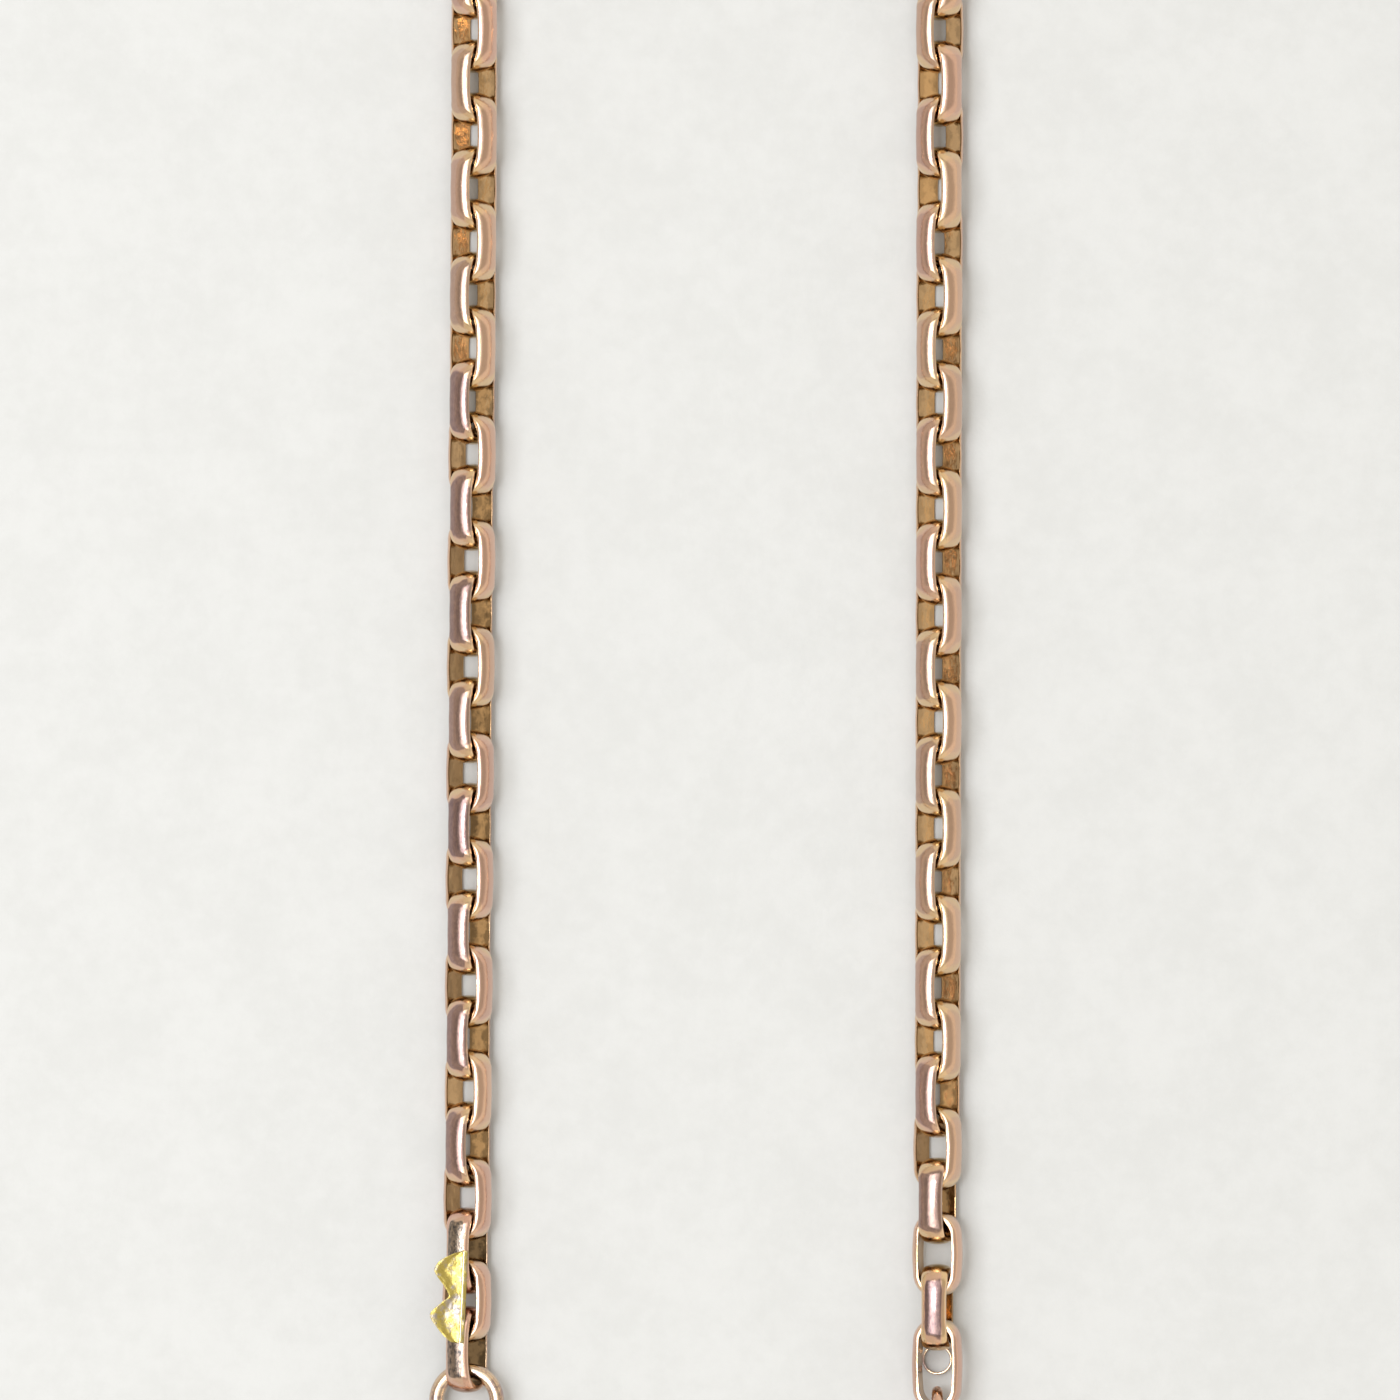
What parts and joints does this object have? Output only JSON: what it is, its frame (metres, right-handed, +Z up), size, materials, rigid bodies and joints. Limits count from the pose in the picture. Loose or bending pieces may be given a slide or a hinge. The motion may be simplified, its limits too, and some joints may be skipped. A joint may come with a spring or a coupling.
{
  "type": "pocket watch chain",
  "caption": "Rose-gold pocket watch chain of oval half-round links, folded in two long strands, with a sprung swivel hook at one end and a T-bar at the other.",
  "frame": {"origin": "middle of the footprint, on the table the chain lies on", "axes": "+Y along the two strands, from the swivel and T-bar towards the fold; +Z up from the table; +X across, from the strand with the swivel to the strand with the T-bar"},
  "size_m": [0.0666, 0.1896, 0.0058],
  "materials": {
    "rose_gold": "polished rose gold, lightly scuffed",
    "worn_silver": "gold worn through to grey base metal",
    "yellow_brass": "rough yellow brass",
    "pale_gold": "polished pale gold",
    "spring_steel": "dark spring steel"
  },
  "bodies": {
    "fold": {"fold": "rose_gold"},
    "bar_eye": {"bar_eye": "rose_gold"},
    "end_ring": {"end_ring": "pale_gold"},
    "link_left_01": {"link_left_01": "rose_gold"},
    "link_left_02": {"link_left_02": "rose_gold"},
    "link_left_03": {"link_left_03": "rose_gold"},
    "link_left_04": {"link_left_04": "rose_gold"},
    "link_left_05": {"link_left_05": "rose_gold"},
    "link_left_06": {"link_left_06": "rose_gold"},
    "link_left_07": {"link_left_07": "rose_gold"},
    "link_left_08": {"link_left_08": "rose_gold"},
    "link_left_09": {"link_left_09": "rose_gold"},
    "link_left_10": {"link_left_10": "rose_gold"},
    "link_left_11": {"link_left_11": "rose_gold"},
    "link_left_12": {"link_left_12": "rose_gold"},
    "link_left_13": {"link_left_13": "rose_gold"},
    "link_left_14": {"link_left_14": "rose_gold"},
    "link_left_15": {"link_left_15": "rose_gold"},
    "link_left_16": {"link_left_16": "rose_gold"},
    "link_left_17": {"link_left_17": "rose_gold"},
    "link_left_18": {"link_left_18": "rose_gold"},
    "link_left_19": {"link_left_19": "rose_gold"},
    "link_left_20": {"link_left_20": "rose_gold"},
    "link_left_21": {"link_left_21": "rose_gold"},
    "link_left_23": {"link_left_23": "rose_gold"},
    "link_right_01": {"link_right_01": "rose_gold"},
    "link_right_02": {"link_right_02": "rose_gold"},
    "link_right_03": {"link_right_03": "rose_gold"},
    "link_right_04": {"link_right_04": "rose_gold"},
    "link_right_05": {"link_right_05": "rose_gold"},
    "link_right_06": {"link_right_06": "rose_gold"},
    "link_right_07": {"link_right_07": "rose_gold"},
    "link_right_08": {"link_right_08": "rose_gold"},
    "link_right_09": {"link_right_09": "rose_gold"},
    "link_right_10": {"link_right_10": "rose_gold"},
    "link_right_11": {"link_right_11": "rose_gold"},
    "link_right_12": {"link_right_12": "rose_gold"},
    "link_right_13": {"link_right_13": "rose_gold"},
    "link_right_14": {"link_right_14": "rose_gold"},
    "link_right_15": {"link_right_15": "rose_gold"},
    "link_right_16": {"link_right_16": "rose_gold"},
    "link_right_17": {"link_right_17": "rose_gold"},
    "link_right_18": {"link_right_18": "rose_gold"},
    "link_right_19": {"link_right_19": "rose_gold"},
    "link_right_20": {"link_right_20": "rose_gold"},
    "link_right_21": {"link_right_21": "rose_gold"},
    "link_right_22": {"link_right_22": "rose_gold"},
    "link_right_23": {"link_right_23": "rose_gold"},
    "link_right_24": {"link_right_24": "rose_gold"},
    "loose_ring": {"loose_ring": "pale_gold"},
    "swivel_eye": {"swivel_eye": "pale_gold"},
    "swivel_gate": {"swivel_gate": "pale_gold"},
    "swivel_hook": {"swivel_hook": "pale_gold", "gate_pin": "pale_gold", "gate_spring": "spring_steel"},
    "t_bar": {"t_bar": "rose_gold"},
    "wire_ring": {"wire_ring": "rose_gold"},
    "worn_link_left_22": {"worn_link_left_22": "worn_silver", "mending_plate": "yellow_brass"},
    "worn_link_left_24": {"worn_link_left_24": "worn_silver"}
  },
  "joints": [
    {"name": "link_left_01_swing", "type": "hinge", "parent": "fold", "child": "link_left_01", "pos_m": [-0.02802, 0.05603, 0.00234], "axis": [0.7071, -0.0042, 0.7071], "range_deg": [-35, 35]},
    {"name": "link_left_02_swing", "type": "hinge", "parent": "link_left_01", "child": "link_left_02", "pos_m": [-0.02805, 0.05072, 0.00234], "axis": [0.7071, -0.0042, -0.7071], "range_deg": [-35, 35]},
    {"name": "link_left_03_swing", "type": "hinge", "parent": "link_left_02", "child": "link_left_03", "pos_m": [-0.02808, 0.04541, 0.00234], "axis": [-0.7071, 0.0042, -0.7071], "range_deg": [-35, 35]},
    {"name": "link_left_04_swing", "type": "hinge", "parent": "link_left_03", "child": "link_left_04", "pos_m": [-0.02811, 0.0401, 0.00234], "axis": [-0.7071, 0.0042, 0.7071], "range_deg": [-35, 35]},
    {"name": "link_left_05_swing", "type": "hinge", "parent": "link_left_04", "child": "link_left_05", "pos_m": [-0.02814, 0.03479, 0.00234], "axis": [0.7071, -0.0042, 0.7071], "range_deg": [-35, 35]},
    {"name": "link_left_06_swing", "type": "hinge", "parent": "link_left_05", "child": "link_left_06", "pos_m": [-0.02818, 0.02948, 0.00234], "axis": [0.7071, -0.0042, -0.7071], "range_deg": [-35, 35]},
    {"name": "link_left_07_swing", "type": "hinge", "parent": "link_left_06", "child": "link_left_07", "pos_m": [-0.02821, 0.02417, 0.00237], "axis": [-0.7384, 0.0044, -0.6744], "range_deg": [-35, 35]},
    {"name": "link_left_08_swing", "type": "hinge", "parent": "link_left_07", "child": "link_left_08", "pos_m": [-0.02824, 0.01886, 0.00241], "axis": [-0.61, 0.0037, 0.7924], "range_deg": [-35, 35]},
    {"name": "link_left_09_swing", "type": "hinge", "parent": "link_left_08", "child": "link_left_09", "pos_m": [-0.02827, 0.01355, 0.00243], "axis": [0.8191, -0.0049, 0.5736], "range_deg": [-35, 35]},
    {"name": "link_left_10_swing", "type": "hinge", "parent": "link_left_09", "child": "link_left_10", "pos_m": [-0.0283, 0.00824, 0.00243], "axis": [0.5736, -0.0034, -0.8192], "range_deg": [-35, 35]},
    {"name": "link_left_11_swing", "type": "hinge", "parent": "link_left_10", "child": "link_left_11", "pos_m": [-0.02834, 0.00293, 0.00243], "axis": [-0.8191, 0.0049, -0.5736], "range_deg": [-35, 35]},
    {"name": "link_left_12_swing", "type": "hinge", "parent": "link_left_11", "child": "link_left_12", "pos_m": [-0.02837, -0.00238, 0.00243], "axis": [-0.5736, 0.0034, 0.8192], "range_deg": [-35, 35]},
    {"name": "link_left_13_swing", "type": "hinge", "parent": "link_left_12", "child": "link_left_13", "pos_m": [-0.0284, -0.00769, 0.00243], "axis": [0.8191, -0.0049, 0.5736], "range_deg": [-35, 35]},
    {"name": "link_left_14_swing", "type": "hinge", "parent": "link_left_13", "child": "link_left_14", "pos_m": [-0.02843, -0.013, 0.00243], "axis": [0.5736, -0.0034, -0.8192], "range_deg": [-35, 35]},
    {"name": "link_left_15_swing", "type": "hinge", "parent": "link_left_14", "child": "link_left_15", "pos_m": [-0.02846, -0.01831, 0.00243], "axis": [-0.8191, 0.0049, -0.5736], "range_deg": [-35, 35]},
    {"name": "link_left_16_swing", "type": "hinge", "parent": "link_left_15", "child": "link_left_16", "pos_m": [-0.0285, -0.02362, 0.00243], "axis": [-0.5736, 0.0034, 0.8192], "range_deg": [-35, 35]},
    {"name": "link_left_17_swing", "type": "hinge", "parent": "link_left_16", "child": "link_left_17", "pos_m": [-0.02853, -0.02893, 0.00243], "axis": [0.8191, -0.0049, 0.5736], "range_deg": [-35, 35]},
    {"name": "link_left_18_swing", "type": "hinge", "parent": "link_left_17", "child": "link_left_18", "pos_m": [-0.02856, -0.03424, 0.00243], "axis": [0.5736, -0.0034, -0.8192], "range_deg": [-35, 35]},
    {"name": "link_left_19_swing", "type": "hinge", "parent": "link_left_18", "child": "link_left_19", "pos_m": [-0.02859, -0.03955, 0.00241], "axis": [-0.8032, 0.0048, -0.5957], "range_deg": [-35, 35]},
    {"name": "link_left_20_swing", "type": "hinge", "parent": "link_left_19", "child": "link_left_20", "pos_m": [-0.02862, -0.04486, 0.00239], "axis": [-0.6428, 0.0039, 0.766], "range_deg": [-35, 35]},
    {"name": "link_left_21_swing", "type": "hinge", "parent": "link_left_20", "child": "link_left_21", "pos_m": [-0.02865, -0.05017, 0.00239], "axis": [0.7711, -0.0046, 0.6367], "range_deg": [-35, 35]},
    {"name": "worn_link_left_22_swing", "type": "hinge", "parent": "link_left_21", "child": "worn_link_left_22", "pos_m": [-0.02869, -0.05548, 0.00244], "axis": [0.5576, -0.0033, -0.8301], "range_deg": [-35, 35]},
    {"name": "link_left_23_swing", "type": "hinge", "parent": "worn_link_left_22", "child": "link_left_23", "pos_m": [-0.02872, -0.06079, 0.00247], "axis": [-0.866, 0.0052, -0.5], "range_deg": [-35, 0]},
    {"name": "worn_link_left_24_swing", "type": "hinge", "parent": "link_left_23", "child": "worn_link_left_24", "pos_m": [-0.02875, -0.0657, 0.00247], "axis": [-0.5, 0.003, 0.866], "range_deg": [-35, 0]},
    {"name": "link_right_01_swing", "type": "hinge", "parent": "fold", "child": "link_right_01", "pos_m": [0.01853, 0.05594, 0.0024], "axis": [-0.788, 0.0016, 0.6157], "range_deg": [-35, 35]},
    {"name": "link_right_02_swing", "type": "hinge", "parent": "link_right_01", "child": "link_right_02", "pos_m": [0.01852, 0.05062, 0.0024], "axis": [-0.6157, 0.0012, -0.788], "range_deg": [-35, 35]},
    {"name": "link_right_03_swing", "type": "hinge", "parent": "link_right_02", "child": "link_right_03", "pos_m": [0.01851, 0.0453, 0.0024], "axis": [0.788, -0.0016, -0.6157], "range_deg": [-35, 35]},
    {"name": "link_right_04_swing", "type": "hinge", "parent": "link_right_03", "child": "link_right_04", "pos_m": [0.0185, 0.03998, 0.00237], "axis": [0.6626, -0.0013, 0.749], "range_deg": [-35, 35]},
    {"name": "link_right_05_swing", "type": "hinge", "parent": "link_right_04", "child": "link_right_05", "pos_m": [0.01849, 0.03466, 0.00234], "axis": [-0.7071, 0.0014, 0.7071], "range_deg": [-35, 35]},
    {"name": "link_right_06_swing", "type": "hinge", "parent": "link_right_05", "child": "link_right_06", "pos_m": [0.01848, 0.02934, 0.00234], "axis": [-0.7071, 0.0014, -0.7071], "range_deg": [-35, 35]},
    {"name": "link_right_07_swing", "type": "hinge", "parent": "link_right_06", "child": "link_right_07", "pos_m": [0.01847, 0.02402, 0.00234], "axis": [0.7071, -0.0014, -0.7071], "range_deg": [-35, 35]},
    {"name": "link_right_08_swing", "type": "hinge", "parent": "link_right_07", "child": "link_right_08", "pos_m": [0.01846, 0.0187, 0.00234], "axis": [0.7071, -0.0014, 0.7071], "range_deg": [-35, 35]},
    {"name": "link_right_09_swing", "type": "hinge", "parent": "link_right_08", "child": "link_right_09", "pos_m": [0.01845, 0.01338, 0.00234], "axis": [-0.7071, 0.0014, 0.7071], "range_deg": [-35, 35]},
    {"name": "link_right_10_swing", "type": "hinge", "parent": "link_right_09", "child": "link_right_10", "pos_m": [0.01844, 0.00806, 0.00234], "axis": [-0.7071, 0.0014, -0.7071], "range_deg": [-35, 35]},
    {"name": "link_right_11_swing", "type": "hinge", "parent": "link_right_10", "child": "link_right_11", "pos_m": [0.01843, 0.00274, 0.00234], "axis": [0.7071, -0.0014, -0.7071], "range_deg": [-35, 35]},
    {"name": "link_right_12_swing", "type": "hinge", "parent": "link_right_11", "child": "link_right_12", "pos_m": [0.01842, -0.00258, 0.00234], "axis": [0.7071, -0.0014, 0.7071], "range_deg": [-35, 35]},
    {"name": "link_right_13_swing", "type": "hinge", "parent": "link_right_12", "child": "link_right_13", "pos_m": [0.01841, -0.0079, 0.00234], "axis": [-0.7071, 0.0014, 0.7071], "range_deg": [-35, 35]},
    {"name": "link_right_14_swing", "type": "hinge", "parent": "link_right_13", "child": "link_right_14", "pos_m": [0.0184, -0.01322, 0.00234], "axis": [-0.7071, 0.0014, -0.7071], "range_deg": [-35, 35]},
    {"name": "link_right_15_swing", "type": "hinge", "parent": "link_right_14", "child": "link_right_15", "pos_m": [0.01839, -0.01854, 0.00234], "axis": [0.7071, -0.0014, -0.7071], "range_deg": [-35, 35]},
    {"name": "link_right_16_swing", "type": "hinge", "parent": "link_right_15", "child": "link_right_16", "pos_m": [0.01838, -0.02386, 0.00234], "axis": [0.7071, -0.0014, 0.7071], "range_deg": [-35, 35]},
    {"name": "link_right_17_swing", "type": "hinge", "parent": "link_right_16", "child": "link_right_17", "pos_m": [0.01836, -0.02918, 0.00234], "axis": [-0.7071, 0.0014, 0.7071], "range_deg": [-35, 35]},
    {"name": "link_right_18_swing", "type": "hinge", "parent": "link_right_17", "child": "link_right_18", "pos_m": [0.01835, -0.0345, 0.00234], "axis": [-0.7071, 0.0014, -0.7071], "range_deg": [-35, 35]},
    {"name": "link_right_19_swing", "type": "hinge", "parent": "link_right_18", "child": "link_right_19", "pos_m": [0.01834, -0.03982, 0.00234], "axis": [0.7071, -0.0014, -0.7071], "range_deg": [-35, 35]},
    {"name": "link_right_20_swing", "type": "hinge", "parent": "link_right_19", "child": "link_right_20", "pos_m": [0.01833, -0.04514, 0.00237], "axis": [0.7482, -0.0015, 0.6635], "range_deg": [-35, 35]},
    {"name": "link_right_21_swing", "type": "hinge", "parent": "link_right_20", "child": "link_right_21", "pos_m": [0.01832, -0.05046, 0.00244], "axis": [-0.5502, 0.0011, 0.835], "range_deg": [-35, 35]},
    {"name": "link_right_22_swing", "type": "hinge", "parent": "link_right_21", "child": "link_right_22", "pos_m": [0.01831, -0.05578, 0.00252], "axis": [-0.9162, 0.0018, -0.4006], "range_deg": [-35, 35]},
    {"name": "link_right_23_swing", "type": "hinge", "parent": "link_right_22", "child": "link_right_23", "pos_m": [0.0183, -0.0611, 0.00259], "axis": [0.2661, -0.0005, -0.9639], "range_deg": [-35, 35]},
    {"name": "link_right_24_swing", "type": "hinge", "parent": "link_right_23", "child": "link_right_24", "pos_m": [0.01829, -0.06642, 0.00262], "axis": [0.9781, -0.002, 0.2079], "range_deg": [-35, 35]},
    {"name": "end_ring_swing", "type": "hinge", "parent": "worn_link_left_24", "child": "end_ring", "pos_m": [-0.02878, -0.07061, 0.00247], "axis": [0.866, -0.0052, 0.5], "range_deg": [-20, 20]},
    {"name": "swivel_eye_swing", "type": "hinge", "parent": "end_ring", "child": "swivel_eye", "pos_m": [-0.02878, -0.07693, 0.00247], "axis": [1, 0, 0], "range_deg": [-45, 45]},
    {"name": "swivel_turn", "type": "hinge", "parent": "swivel_eye", "child": "swivel_hook", "pos_m": [-0.02878, -0.08026, 0.00229], "axis": [0, -0.9982, -0.0593], "continuous": true},
    {"name": "gate_open", "type": "hinge", "parent": "swivel_hook", "child": "swivel_gate", "pos_m": [-0.02646, -0.08308, 0.00212], "axis": [0, -0.0593, 0.9982], "range_deg": [-24, 0], "stiffness_Nm_per_rad": 0.01, "springref_deg": 20.05, "deforming": ["gate_spring"]},
    {"name": "loose_ring_slide", "type": "slide", "parent": "link_right_24", "child": "loose_ring", "axis": [0, 1, 0], "range_m": [-0.0005, 0]},
    {"name": "wire_ring_swing", "type": "hinge", "parent": "link_right_24", "child": "wire_ring", "pos_m": [0.01828, -0.07254, 0.00286], "axis": [-0.2079, 0.0004, 0.9781], "range_deg": [-30, 30]},
    {"name": "bar_eye_swing", "type": "hinge", "parent": "wire_ring", "child": "bar_eye", "pos_m": [0.01828, -0.07878, 0.00292], "axis": [0, 0, 1], "range_deg": [-35, 35]},
    {"name": "bar_spin", "type": "hinge", "parent": "bar_eye", "child": "t_bar", "pos_m": [0.01828, -0.08256, 0.00178], "axis": [1, 0, 0], "continuous": true}
  ]
}
